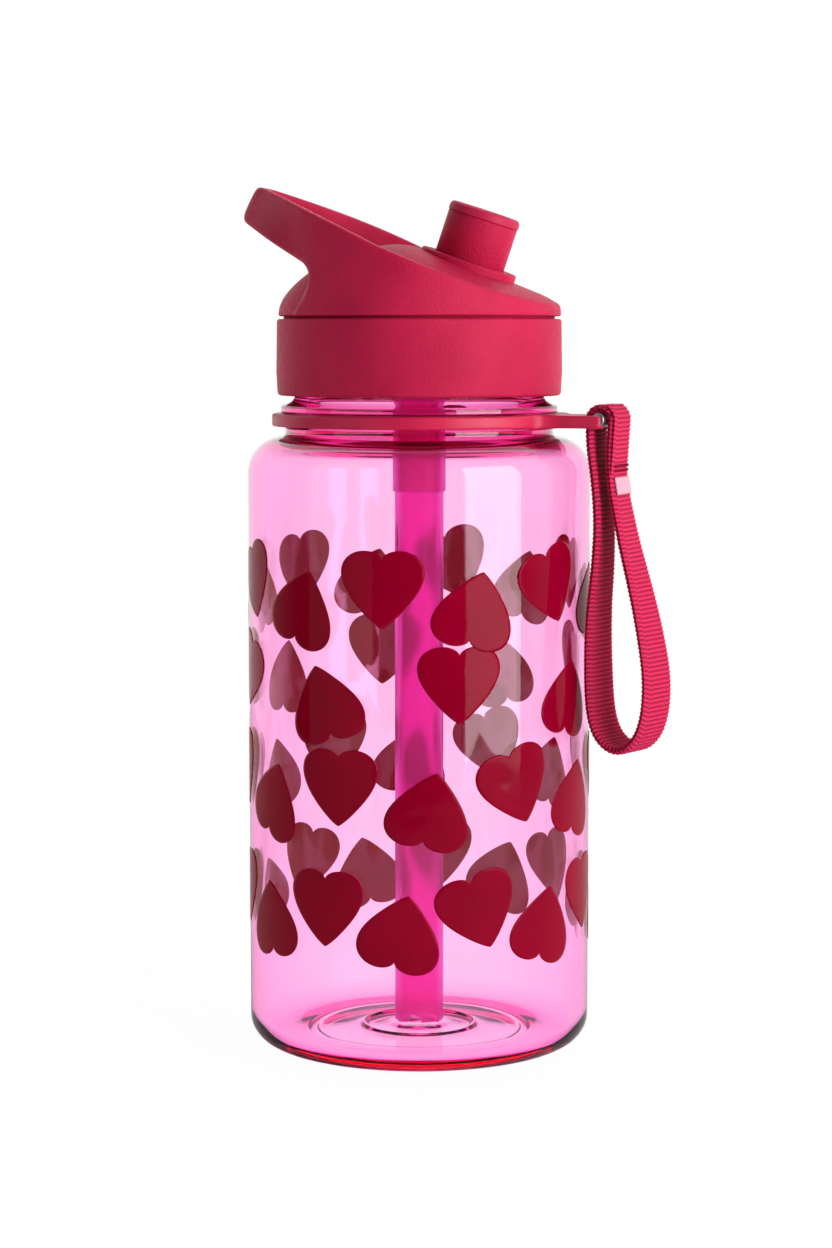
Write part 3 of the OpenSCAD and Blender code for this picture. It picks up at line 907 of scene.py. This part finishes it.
def stitch(verts, faces, a, b, r, lift):
    """A short thread that arches out between two points."""
    steps, sides = 8, 6
    a, b = Vector(a), Vector(b)
    ahead = (b - a).normalized()
    out = Vector((1, 0, 0))
    across = ahead.cross(out).normalized()
    start = len(verts)
    for i in range(steps + 1):
        t = i / steps
        centre = a.lerp(b, t) + out * lift * math.sin(math.pi * t)
        fat = r * (0.45 + 0.55 * math.sin(math.pi * t) ** 0.5)
        for k in range(sides):
            w = TAU * k / sides
            verts.append(tuple(centre + out * fat * math.cos(w) + across * fat * math.sin(w)))
    for i in range(steps):
        for k in range(sides):
            m = (k + 1) % sides
            row, after = start + i * sides, start + (i + 1) * sides
            faces.append([row + k, row + m, after + m, after + k])
    faces.append([start + k for k in range(sides)][::-1])
    faces.append([start + steps * sides + k for k in range(sides)])


def add_stitches(thread):
    """Bar tacks that close the lap, sewn right across it."""
    verts, faces = [], []
    across, up, thick, lift = 0.42, 0.25, 0.19, 0.14
    for z in (127.2, 128.2):
        x = 46.45 + (z - 127) * 0.07
        for i in range(9):
            y = -4.2 + i * 1.05
            stitch(verts, faces, (x, y - across, z - up), (x, y + across, z + up), thick, lift)
    sewn = new_piece("sewn_stitches", moved(verts, ON_LUG), faces, thread, "strap")
    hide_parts("strap_stitching")


def add_tab(ribbon):
    """A small folded ribbon label, blank, with softly rounded folds."""
    verts, faces = [], []
    rows, cols = 13, 25
    for side in (1, -1):
        for i in range(rows):
            v = i / (rows - 1) * 2 - 1
            for k in range(cols):
                u = k / (cols - 1) * 2 - 1
                puff = 0.34 * math.sqrt(max(0.0, 1 - abs(u) ** 8) * max(0.0, 1 - abs(v) ** 6))
                sag = 0.05 * math.sin(u * 5.0 + v * 1.7)
                verts.append((side * puff + sag * puff, u * 4.75, v * 1.95))
    shift = rows * cols
    for i in range(rows - 1):
        for k in range(cols - 1):
            a = i * cols + k
            faces.append([a, a + 1, a + cols + 1, a + cols])
            faces.append([shift + a, shift + a + cols, shift + a + cols + 1, shift + a + 1])
    at = ON_LUG @ Matrix.Translation((46.95, 0, 124.0)) @ Matrix.Rotation(math.radians(-10.5), 4, "Y")
    tab = new_piece("folded_tab", moved(verts, at), faces, ribbon, "strap")
    tab.data.validate()
    work = bmesh.new()
    work.from_mesh(tab.data)
    bmesh.ops.remove_doubles(work, verts=work.verts, dist=0.00001)
    work.to_mesh(tab.data)
    work.free()
    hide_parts("strap_tab")


# ---------------------------------------------------------------- stage
def add_floor():
    mesh = bpy.data.meshes.new("floor")
    rows = [(y, 0.0) for y in np.linspace(-0.36, 0.5, 9)]
    verts = [(x, y, z) for y, z in rows for x in (-0.45, 0.45)]
    faces = [[2 * i, 2 * i + 1, 2 * i + 3, 2 * i + 2] for i in range(len(rows) - 1)]
    mesh.from_pydata(verts, [], faces)
    mesh.polygons.foreach_set("use_smooth", [True] * len(mesh.polygons))
    mesh.materials.append(floor_paint())
    floor = bpy.data.objects.new("floor", mesh)
    bpy.context.scene.collection.objects.link(floor)
    floor.location.z = -0.0002


def finish_cad_nodes(looks):
    """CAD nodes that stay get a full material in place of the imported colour."""
    for name, mat in looks.items():
        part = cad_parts[name]
        part.data.materials.clear()
        part.data.materials.append(mat)


add_camera()
add_world()
add_light("right_softbox", (0.95, -0.5, 0.1), (0, 0, 0.1), (0.78, 1.5), 22.0)
add_light("left_softbox", (-0.62, -0.7, 0.12), (0, 0, 0.1), (0.8, 1.4), 2.6)
bpy.context.scene.view_settings.view_transform = "Standard"

lid_plastic = moulded("lid_plastic", (0.52, 0.012, 0.062), 0.42, 2600, 0.9, Specular_IOR_Level=0.08)
ring_plastic = moulded("ring_plastic", (0.6, 0.014, 0.07), 0.35, 900, 0.08, Specular_IOR_Level=0.25)
tip_rubber = moulded("spout_tip", (0.53, 0.014, 0.066), 0.5, 1500, 0.2, Specular_IOR_Level=0.2)
inner_plastic = moulded("inner_plastic", (0.75, 0.1, 0.25), 0.4, 1200, 0.1)
silicone = moulded("silicone", (0.85, 0.7, 0.75), 0.45, 800, 0.08, Subsurface_Weight=0.2)
rubber = moulded("seal_rubber", (0.03, 0.03, 0.032), 0.5, 1200, 0.15)
straw_mat = straw_plastic()

add_bottle(clear_plastic(), heart_ink())
add_collar(lid_plastic)
add_lid(lid_plastic)
add_flange(lid_plastic)
add_spout(lid_plastic, tip_rubber)
add_ring(ring_plastic, metal())
# The strap webbing's dark colour is painted shade for its furrows; the thread and label carry no rib height,
# so they take only the random yarn tone.
add_strap(
    webbing("webbing", (0.3, 0.001, 0.025), (0.82, 0.035, 0.14)),
    webbing("thread", (0.25, 0.002, 0.025), (0.45, 0.008, 0.05)),
    webbing("label", (0.85, 0.38, 0.48), (0.95, 0.52, 0.6)),
)
finish_cad_nodes(
    {
        "inner_cap": inner_plastic,
        "spout_post": inner_plastic,
        "neck_gasket": silicone,
        "vent_valve": silicone,
        "spout_seal": rubber,
        "socket_seal": rubber,
        "straw": straw_mat,
        "straw_socket": straw_mat,
    }
)
add_floor()
